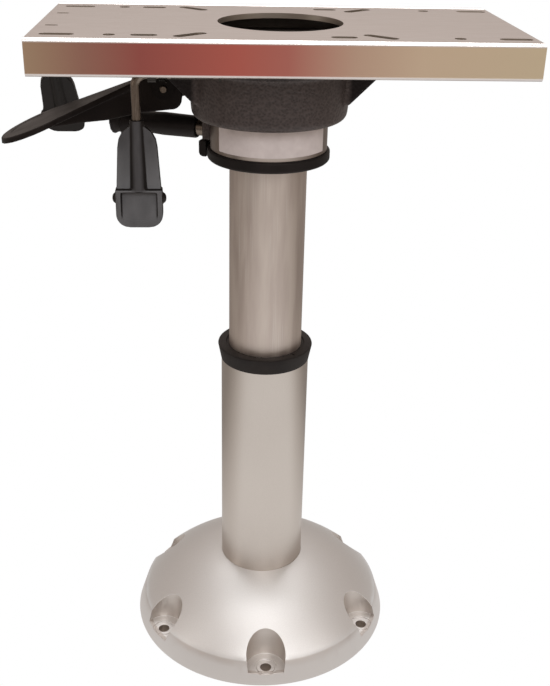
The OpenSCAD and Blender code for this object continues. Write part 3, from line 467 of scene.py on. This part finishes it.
# %% Seat plate
FRONT_TINTS = ((0.0, (0.55, 0.395, 0.27)), (0.11, (0.44, 0.232, 0.178)), (0.22, (0.44, 0.134, 0.115)),
               (0.40, (0.605, 0.170, 0.136)), (0.50, (0.585, 0.215, 0.177)), (0.63, (0.69, 0.48, 0.365)),
               (0.76, (0.80, 0.635, 0.47)), (1.0, (0.81, 0.685, 0.49)))
DECK_TONES = ((0.410, 0.362, 0.336), (0.470, 0.423, 0.400))
PLAIN_WALL = (0.46, 0.40, 0.34)
BEAD_COLOUR = (0.91, 0.89, 0.88)
LOW_BEAD_COLOUR = (0.66, 0.60, 0.57)
PLATE_LOW, PLATE_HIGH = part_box("seat_plate")
HIGH_BEADS = (PLATE_HIGH.z - 3.0 * MM, PLATE_HIGH.z - 2.4 * MM)
LOW_BEADS = (PLATE_LOW.z + 1.8 * MM, PLATE_LOW.z + 2.4 * MM)
LONG_WALLS = (PLATE_HIGH.y - 5.7 * MM, PLATE_HIGH.y - 4.9 * MM)
FRONT_WALL = (PLATE_LOW.y + 5.1 * MM, PLATE_LOW.y + 5.3 * MM)
FLAT_FRONT_FACES = (-0.97, -0.90)
DECK_FACES = (0.9, 0.98)
DECK_LIMITS = (0.35, 0.65)
DECK_ROUGHNESS = 0.55
WALL_ROUGHNESS = 0.42
BEAD_ROUGHNESS = 0.3
PLATE_GRAIN_HEIGHT = 0.01 * MM


def front_tints(tree, at):
    """The colours that the front wall mirrors, from the left end of the plate to the right."""
    tints = add(tree, "ShaderNodeValToRGB", Fac=ramp(tree, at["X"], PLATE_LOW.x, PLATE_HIGH.x))
    stops = tints.color_ramp.elements
    while len(stops) < len(FRONT_TINTS):
        stops.new(0.5)
    for stop, (share, colour) in zip(stops, FRONT_TINTS):
        stop.position = share
        stop.color = (*colour, 1.0)
    return tints.outputs["Color"]


def plate_beads(tree, at):
    """The mask of all beads, and the mask of the height of the low ones."""
    high = ramp(tree, at["Z"], *HIGH_BEADS)
    low = fade(tree, at["Z"], *LOW_BEADS)
    outer = ramp(tree, math_node(tree, "ABSOLUTE", at["Y"]), *LONG_WALLS)
    return both(tree, either(tree, high, low), outer), low


def plate_metal():
    material, tree, shader, place = start_material("seat_plate_metal")
    fine = grain(tree, place, scale=2400.0, stretch=(0.02, 1.0, 1.0))
    at = split(tree, place)
    faces = facing(tree, "True Normal")
    front = both(tree, fade(tree, faces["Y"], *FLAT_FRONT_FACES), fade(tree, at["Y"], *FRONT_WALL))
    wall = mix_colour(tree, front, PLAIN_WALL, front_tints(tree, at))
    is_deck = ramp(tree, faces["Z"], *DECK_FACES)
    sheet = mix_colour(tree, is_deck, wall, two_tones(tree, fine, DECK_TONES, DECK_LIMITS))
    sheet_roughness = mix_value(tree, is_deck, WALL_ROUGHNESS, DECK_ROUGHNESS)
    bead, low = plate_beads(tree, at)
    bead_colour = mix_colour(tree, low, BEAD_COLOUR, LOW_BEAD_COLOUR)
    put(tree, shader, Base_Color=mix_colour(tree, bead, sheet, bead_colour), Metallic=1.0,
        Roughness=mix_value(tree, bead, sheet_roughness, BEAD_ROUGHNESS),
        Normal=bump(tree, fine, PLATE_GRAIN_HEIGHT))
    return material


materials["plate_alloy"] = plate_metal()
print("plate length in mm", round((PLATE_HIGH.x - PLATE_LOW.x) / MM, 1))

# %% [markdown]
# The top casting wears hammered paint, which shows grey on the ridges between its dimples. Towards the
# sides it gets a painted highlight, a paler copy of the paint. In the cup and on the arms, where little
# light comes, it gets a painted shade and is almost black. One paint with masks is simpler than three
# paints, because the casting is a single piece.
# The cup's size comes from the casting's rim, and its floor from the top of the neck.

# %% Hammered paint
WARM_SHEEN = (1.0, 0.87, 0.84)
CASTING_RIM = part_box("top_casting")[1].y
CUP_INSIDE = CASTING_RIM - 6.6 * MM
ARM_START = CASTING_RIM - 2.5 * MM
CUP_FLOOR = NECK_HIGH.z + 7 * MM
FRONT_PAINT = ((0.024, 0.0185, 0.0175), (0.060, 0.047, 0.045))
SIDE_PAINT_HIGHLIGHT = ((0.040, 0.032, 0.031), (0.088, 0.072, 0.070))
SHADED_PAINT = (0.004, 0.003, 0.0035)
FRONT_TO_SIDE = (12 * MM, 45 * MM)
ARM_SHADE = 0.85
PAINT_SHEEN = 0.4
SHADED_SHEEN = 0.05
DIMPLE_HEIGHT = 0.22 * MM


def shaded_parts(tree, place, at):
    """The mask of the painted shade inside the cup and on the arms."""
    from_axis = distance_from_axis(tree, place)
    within = fade(tree, from_axis, CUP_INSIDE - 1 * MM, CUP_INSIDE)
    raised = ramp(tree, at["Z"], CUP_FLOOR - 1 * MM, CUP_FLOOR)
    arms = ramp(tree, from_axis, ARM_START, ARM_START + 3 * MM, 0.0, ARM_SHADE)
    return either(tree, both(tree, within, raised), arms)


def hammered_paint():
    material, tree, shader, place = start_material("hammered_paint")
    height = use_group(tree, hammer_group, "Height", Place=place)
    at = split(tree, place)
    front = mix_colour(tree, height, *FRONT_PAINT)
    # Painted highlight: the paint is paler towards the sides.
    lit_sides = mix_colour(tree, height, *SIDE_PAINT_HIGHLIGHT)
    side_highlight = ramp(tree, math_node(tree, "ABSOLUTE", at["X"]), *FRONT_TO_SIDE)
    outside = mix_colour(tree, side_highlight, front, lit_sides)
    shaded = shaded_parts(tree, place, at)
    put(tree, shader, Base_Color=mix_colour(tree, shaded, outside, SHADED_PAINT), Metallic=0.1,
        Roughness=0.42, Normal=bump(tree, height, DIMPLE_HEIGHT), Specular_Tint=WARM_SHEEN,
        Specular_IOR_Level=mix_value(tree, shaded, PAINT_SHEEN, SHADED_SHEEN),
        Coat_Weight=0.15, Coat_Roughness=0.3)
    return material


materials["hammered_paint"] = hammered_paint()
print("inside of the cup in mm", round(CUP_INSIDE / MM, 1), "floor", round(CUP_FLOOR / MM, 1))

# %% [markdown]
# The lever's bracket and the gas spring are painted smooth. Sprayed paint dries with a faint
# unevenness, like the skin of an orange, which a soft noise and a low bump give.

# %% Smooth paint
PEEL_DULLING = 0.75
PEEL_LIMITS = (0.35, 0.65)
PEEL_HEIGHT = 0.06 * MM


def smooth_paint(name, colour, roughness):
    material, tree, shader, place = start_material(name)
    peel = grain(tree, place, scale=350.0)
    dull = tuple(part * PEEL_DULLING for part in colour)
    put(tree, shader, Base_Color=two_tones(tree, peel, (dull, colour), PEEL_LIMITS),
        Roughness=roughness, Normal=bump(tree, peel, PEEL_HEIGHT),
        Specular_IOR_Level=0.16, Specular_Tint=WARM_SHEEN)
    return material


materials["bracket_paint"] = smooth_paint("bracket_paint", (0.006, 0.0048, 0.0042), 0.5)
materials["cylinder_paint"] = smooth_paint("cylinder_paint", (0.02, 0.02, 0.02), 0.35)
print("paints", [name for name in materials if name.endswith("paint")])

# %% [markdown]
# The lever, the pull handle, the bush, the rings and the glides are moulded plastic, most of it black. The
# mould leaves a fine grain, and handling leaves a cloudy sheen. Faces that point up, as on the long lever,
# are lightened with a painted sheen from the light above.

# %% Moulded plastic
PLASTIC_SHEEN = 0.22
UPWARD_FACES = (0.3, 0.9)
CLOUD_LIMITS = (0.35, 0.68)
SHINIER = 0.05
DULLER = 0.07


def plastic(name, dark, light, roughness, sheen=PLASTIC_SHEEN, top_sheen=0.0):
    material, tree, shader, place = start_material(name)
    fine = grain(tree, place, scale=1500.0)
    cloud = grain(tree, place, scale=60.0, detail=4.0)
    facing_up = ramp(tree, facing(tree)["Z"], *UPWARD_FACES)
    base_tone = two_tones(tree, cloud, (dark, light), CLOUD_LIMITS)
    # Painted sheen: the faces that point up are lightened.
    sheened_top = tuple(part + top_sheen for part in light)
    put(tree, shader, Base_Color=mix_colour(tree, facing_up, base_tone, sheened_top),
        Roughness=spread(tree, cloud, roughness - SHINIER, roughness + DULLER),
        Normal=bump(tree, fine, GRAIN_HEIGHT), Specular_IOR_Level=sheen, Specular_Tint=WARM_SHEEN)
    return material


materials.update({
    "bush_plastic": plastic("bush_plastic", dark=(0.009, 0.008, 0.0075), light=(0.02, 0.018, 0.017),
                            roughness=0.5),
    "ring_plastic": plastic("ring_plastic", dark=(0.006, 0.0055, 0.005), light=(0.012, 0.010, 0.010),
                            roughness=0.5),
    "slide_plastic": plastic("slide_plastic", dark=(0.008, 0.007, 0.0065), light=(0.014, 0.012, 0.011),
                             roughness=0.5),
    "valve_plastic": plastic("valve_plastic", dark=(0.4, 0.03, 0.02), light=(0.5, 0.05, 0.035),
                             roughness=0.4),
    "lever_plastic": plastic("lever_plastic", dark=(0.006, 0.0045, 0.004), light=(0.012, 0.009, 0.008),
                             roughness=0.42, sheen=0.16, top_sheen=0.006),
    "pull_plastic": plastic("pull_plastic", dark=(0.007, 0.006, 0.006), light=(0.013, 0.012, 0.012),
                            roughness=0.42),
})
print("plastics", [name for name in materials if name.endswith("plastic")])

# %% [markdown]
# Two grips hang from the seat slide. Where the front one faces the front, it gets a painted grey sheen:
# strong on its two wings, where it fades towards the top, and weaker in the tray at its foot. The rear one
# gets none and stays plain black. The painted sheen is a mask in the material.

# %% Hanging grips
GRIP_LOW, GRIP_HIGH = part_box("front_grip")
BLACK_GRIP = ((0.006, 0.005, 0.0045), (0.012, 0.0105, 0.010))
FAINT_SHEEN = ((0.050, 0.050, 0.054), (0.074, 0.074, 0.080))
STRONG_SHEEN = ((0.150, 0.158, 0.170), (0.195, 0.205, 0.220))
GRIP_SHEEN = (1.0, 0.93, 0.92)
TRAY_TOP = GRIP_LOW.z + 26 * MM
TRAY_SHEEN = 0.45
WING_TOP_SHEEN = 0.15
WING_SIDES = (4 * MM, 6 * MM)
WING_TOPS = (GRIP_HIGH.z - 55 * MM, GRIP_HIGH.z - 15 * MM)
GRIP_FRONT_FACES = (-0.97, -0.75)
FRONT_TO_REAR = (-30 * MM, 20 * MM)
GRIP_ROUGHNESS = (0.34, 0.44)


def sheen_strength(tree, at):
    """How strong the painted sheen is on the wings and in the tray."""
    middle = (GRIP_LOW.x + GRIP_HIGH.x) / 2
    from_middle = math_node(tree, "ABSOLUTE", math_node(tree, "SUBTRACT", at["X"], middle))
    upwards = ramp(tree, at["Z"], *WING_TOPS, 1.0, WING_TOP_SHEEN)
    wings = both(tree, ramp(tree, from_middle, *WING_SIDES), upwards)
    return mix_value(tree, fade(tree, at["Z"], TRAY_TOP, TRAY_TOP + 2 * MM), wings, TRAY_SHEEN)


def grip_plastic():
    material, tree, shader, place = start_material("grip_plastic")
    fine = grain(tree, place, scale=1500.0)
    cloud = grain(tree, place, scale=90.0, stretch=(1.0, 1.0, 0.3))
    base_tone, faint, strong = (two_tones(tree, cloud, tones, CLOUD_LIMITS)
                            for tones in (BLACK_GRIP, FAINT_SHEEN, STRONG_SHEEN))
    at = split(tree, place)
    painted_sheen = mix_colour(tree, sheen_strength(tree, at), faint, strong)
    # Painted sheen on the faces that look to the front, fading out towards the rear grip.
    facing_front = both(tree, fade(tree, facing(tree)["Y"], *GRIP_FRONT_FACES),
                   fade(tree, at["Y"], *FRONT_TO_REAR))
    put(tree, shader, Base_Color=mix_colour(tree, facing_front, base_tone, painted_sheen),
        Roughness=spread(tree, cloud, *GRIP_ROUGHNESS), Normal=bump(tree, fine, GRAIN_HEIGHT),
        Specular_IOR_Level=PLASTIC_SHEEN, Specular_Tint=GRIP_SHEEN)
    return material


materials["grip_plastic"] = grip_plastic()
print("materials", len(materials))

# %% [markdown]
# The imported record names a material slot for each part, so one loop dresses them all. The nodes
# stay where they are, because their place is in their meshes.

# %% Dress the nodes
slots = {part["node"]: part["material_slot"] for part in frame["record"]["subparts"]}
for name, node in nodes.items():
    node.data.materials.clear()
    node.data.materials.append(materials[slots[name]])
print("dressed nodes", len(slots))

# %% [markdown]
# Moulded plastic and cast metal have no sharp edges: the mould rounds the corners and fills the
# hollows between two faces. Bevel would round each edge by itself and fails where many meet. So
# the handles and the top casting get a fine even grid of faces from Remesh, and Smooth then melts
# their edges together, as in the mould. The numbers are the grid's step in millimetres and how
# often it is smoothed.

# %% Moulded forms
MELT_SHARE = 0.5
MOULDED = {
    "front_grip": (0.5, 7), "rear_grip": (0.5, 7), "height_lever": (0.6, 6), "swivel_grip": (0.6, 5),
    "top_casting": (1.1, 7),
}


def melt_edges(node, step, repeats):
    grid = node.modifiers.new("even_grid", "REMESH")
    grid.mode = "VOXEL"
    grid.voxel_size = step
    grid.use_smooth_shade = True
    melt = node.modifiers.new("melt_edges", "SMOOTH")
    melt.factor = MELT_SHARE
    melt.iterations = repeats


for name, (step, repeats) in MOULDED.items():
    melt_edges(nodes[name], step * MM, repeats)
print("moulded nodes", sorted(MOULDED))

# %% [markdown]
# Smaller and plainer pieces only need their edges broken, and an even grid would cost them many
# faces. Weld closes the seams that the import leaves, Decimate joins the triangles of each flat
# face, and Bevel rounds every edge that turns by more than its angle. A last modifier lets the
# flat faces set the shading. The numbers are the rounds in millimetres.

# %% Rounded edges
EDGE_ROUNDS = {
    "base_casting": 0.5, "tube_bush": 0.7, "block_cap": 1.2, "neck_ring": 0.6, "lever_bracket": 0.4,
}
SEAM_GAP = 0.001 * MM
FLAT_WITHIN = math.radians(0.3)
SHARPER_THAN = math.radians(35)
ROUND_STEPS = 3
FLAT_FACE_WEIGHT = 60


def round_edges(node, radius):
    weld = node.modifiers.new("close_seams", "WELD")
    weld.merge_threshold = SEAM_GAP
    flat = node.modifiers.new("join_flat_faces", "DECIMATE")
    flat.decimate_type = "DISSOLVE"
    flat.angle_limit = FLAT_WITHIN
    bevel = node.modifiers.new("round_edges", "BEVEL")
    bevel.width = radius
    bevel.segments = ROUND_STEPS
    bevel.limit_method = "ANGLE"
    bevel.angle_limit = SHARPER_THAN
    shading = node.modifiers.new("even_shading", "WEIGHTED_NORMAL")
    shading.weight = FLAT_FACE_WEIGHT


for name, radius in EDGE_ROUNDS.items():
    round_edges(nodes[name], radius * MM)
print("rounded nodes", sorted(EDGE_ROUNDS))

# %% [markdown]
# The neck carries a thin white label that goes a third of the way round it. A flat grid is bent
# round the neck in code, because the angle and the height of each corner are then known exactly,
# and Solidify gives the film its thickness.

# %% Neck label
LABEL_START = math.radians(-148.0)
LABEL_END = math.radians(-29.0)
LABEL_LOW = NECK_LOW.z + 2.6 * MM
LABEL_HIGH = NECK_HIGH.z - 0.9 * MM
LABEL_RADIUS = NECK_HIGH.x + 0.03 * MM
LABEL_THICK = 0.12 * MM
FILM_TONES = ((0.65, 0.595, 0.60), (0.74, 0.685, 0.69))
FILM_HEIGHT = 0.02 * MM


def label_material():
    material, tree, shader, place = start_material("label_film")
    cloud = grain(tree, place, scale=120.0)
    put(tree, shader, Base_Color=two_tones(tree, cloud, FILM_TONES), Roughness=0.42,
        Normal=bump(tree, cloud, FILM_HEIGHT))
    return material


def neck_label():
    """A flat grid is bent round the neck: its X becomes the angle and its Y becomes the height."""
    bpy.ops.object.select_all(action="DESELECT")
    bpy.ops.mesh.primitive_grid_add(x_subdivisions=48, y_subdivisions=2, size=2.0, location=(0, 0, 0))
    label = bpy.context.object
    label.name = "neck_label"
    for vertex in label.data.vertices:
        angle = LABEL_START + (LABEL_END - LABEL_START) * (vertex.co.x + 1) / 2
        height = LABEL_LOW + (LABEL_HIGH - LABEL_LOW) * (vertex.co.y + 1) / 2
        vertex.co = (LABEL_RADIUS * math.cos(angle), LABEL_RADIUS * math.sin(angle), height)
    thick = label.modifiers.new("thickness", "SOLIDIFY")
    thick.thickness = LABEL_THICK
    thick.offset = 1.0
    bpy.ops.object.modifier_apply(modifier=thick.name)
    label.data.materials.append(label_material())
    bpy.ops.object.shade_smooth_by_angle(angle=math.radians(30))
    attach(label, "top")
    return label


label = neck_label()
print("label polygons", len(label.data.polygons))

# %% [markdown]
# For the camera, the floor and the world are plain white. Metal mirrors a dimmer room, or it would
# look as white as its background. Light Path tells which kind of ray is looking, so one material
# can be both.

# %% What a ray sees
WHITE = (1.0, 1.0, 1.0)


def seen_by(tree):
    """1 for rays from the camera, and 1 for rays that a mirror or a clear piece sends on."""
    path = add(tree, "ShaderNodeLightPath").outputs
    return path["Is Camera Ray"], either(tree, path["Is Glossy Ray"], path["Is Transmission Ray"])


# %% [markdown]
# A tube mirrors the floor in front of it in its middle. A pool of light on that part of the floor
# gives the tubes their bright middle, and the darker floor round it their darker sides. Below the
# base the floor is plain matt, so that no light leaks out there.

# %% Floor
FLOOR_SIZE = 6.0
FLOOR_DROP = 0.3 * MM
POOL_CENTRE = Vector((0.07, -0.55, 0.0))
POOL_NEAR = 0.52
POOL_FAR = 0.9
FAR_FLOOR = 0.34
WARM_FLOOR = (1.0, 0.92, 0.85)
MATT_FLOOR = (0.62, 0.56, 0.5)


def floor_material():
    material = bpy.data.materials.new("floor_white")
    tree = empty_tree(material)
    place = add(tree, "ShaderNodeTexCoord").outputs["Object"]
    camera_ray, mirrored = seen_by(tree)
    from_pool = vector_math(tree, "DISTANCE", i0=place, i1=POOL_CENTRE)["Value"]
    in_pool = fade(tree, from_pool, POOL_NEAR, POOL_FAR)
    glow = either(tree, camera_ray, both(tree, mirrored, mix_value(tree, in_pool, FAR_FLOOR, 1.0)))
    tint = mix_colour(tree, either(tree, camera_ray, in_pool), WARM_FLOOR, WHITE)
    from_post = vector_math(tree, "LENGTH", i0=place)["Value"]
    open_floor = ramp(tree, from_post, BASE_RADIUS - 2 * MM, BASE_RADIUS)
    shown = both(tree, either(tree, camera_ray, mirrored), open_floor)
    matt = add(tree, "ShaderNodeBsdfDiffuse", Color=MATT_FLOOR).outputs["BSDF"]
    plain = add(tree, "ShaderNodeEmission", Color=tint, Strength=glow).outputs["Emission"]
    surface = add(tree, "ShaderNodeMixShader", i0=shown, i1=matt, i2=plain).outputs["Shader"]
    add(tree, "ShaderNodeOutputMaterial", Surface=surface)
    return material


bpy.ops.object.select_all(action="DESELECT")
bpy.ops.mesh.primitive_plane_add(size=FLOOR_SIZE, location=(0, 0, -FLOOR_DROP))
floor = bpy.context.object
floor.name = "floor"
floor.data.materials.append(floor_material())
print("pool of light, from its centre to the post in m", round(POOL_CENTRE.length, 3))

# %% [markdown]
# The room round the pedestal is dim and warm. It fills the shadows, and metal mirrors it a little
# brighter than it lights the rest, as it would a real room with pale walls.

# %% World
WARM_ROOM = (0.79, 0.68, 0.61)
ROOM_LIGHT = 0.42
ROOM_IN_METAL = 0.59


def make_world():
    world = bpy.data.worlds.new("studio")
    bpy.context.scene.world = world
    tree = empty_tree(world)
    camera_ray, mirrored = seen_by(tree)
    strength = mix_value(tree, mirrored, ROOM_LIGHT, ROOM_IN_METAL)
    room = add(tree, "ShaderNodeBackground", Color=WARM_ROOM, Strength=strength).outputs["Background"]
    plain = add(tree, "ShaderNodeBackground", Color=WHITE, Strength=1.0).outputs["Background"]
    surface = add(tree, "ShaderNodeMixShader", i0=camera_ray, i1=room, i2=plain).outputs["Shader"]
    add(tree, "ShaderNodeOutputWorld", Surface=surface)


make_world()
print("world", bpy.context.scene.world.name)

# %% [markdown]
# Four panels light the pedestal, because large lamps make soft shadows and broad highlights. A wide
# one overhead makes the deck, the beads and the base's top bright. One above the camera lights the
# fronts, and a weak one stands at each side. Places and sizes are in metres, and power is in watts.

# %% Lights


def area_light(name, place, target, size, power, colour):
    data = bpy.data.lights.new(name, "AREA")
    data.shape = "RECTANGLE"
    data.size, data.size_y = size
    data.energy = power
    data.color = colour
    light = bpy.data.objects.new(name, data)
    light.location = place
    light.rotation_euler = (Vector(target) - Vector(place)).to_track_quat("-Z", "Y").to_euler()
    bpy.context.scene.collection.objects.link(light)


area_light("ceiling", place=(0.0, 0.3, 2.2), target=(0, 0.15, 0.2), size=(1.6, 1.9), power=32,
           colour=WHITE)
area_light("front_panel", place=(0.1, -1.9, 1.7), target=(0, 0, 0.25), size=(1.2, 0.9), power=13.5,
           colour=WHITE)
area_light("left_panel", place=(-1.7, -0.6, 0.9), target=(0, 0, 0.3), size=(0.5, 1.2), power=2.5,
           colour=(1.0, 0.965, 0.93))
area_light("right_panel", place=(1.4, -1.3, 1.2), target=(0, 0, 0.3), size=(0.6, 1.0), power=4,
           colour=(1.0, 0.98, 0.96))
bpy.context.scene.view_settings.view_transform = "Standard"
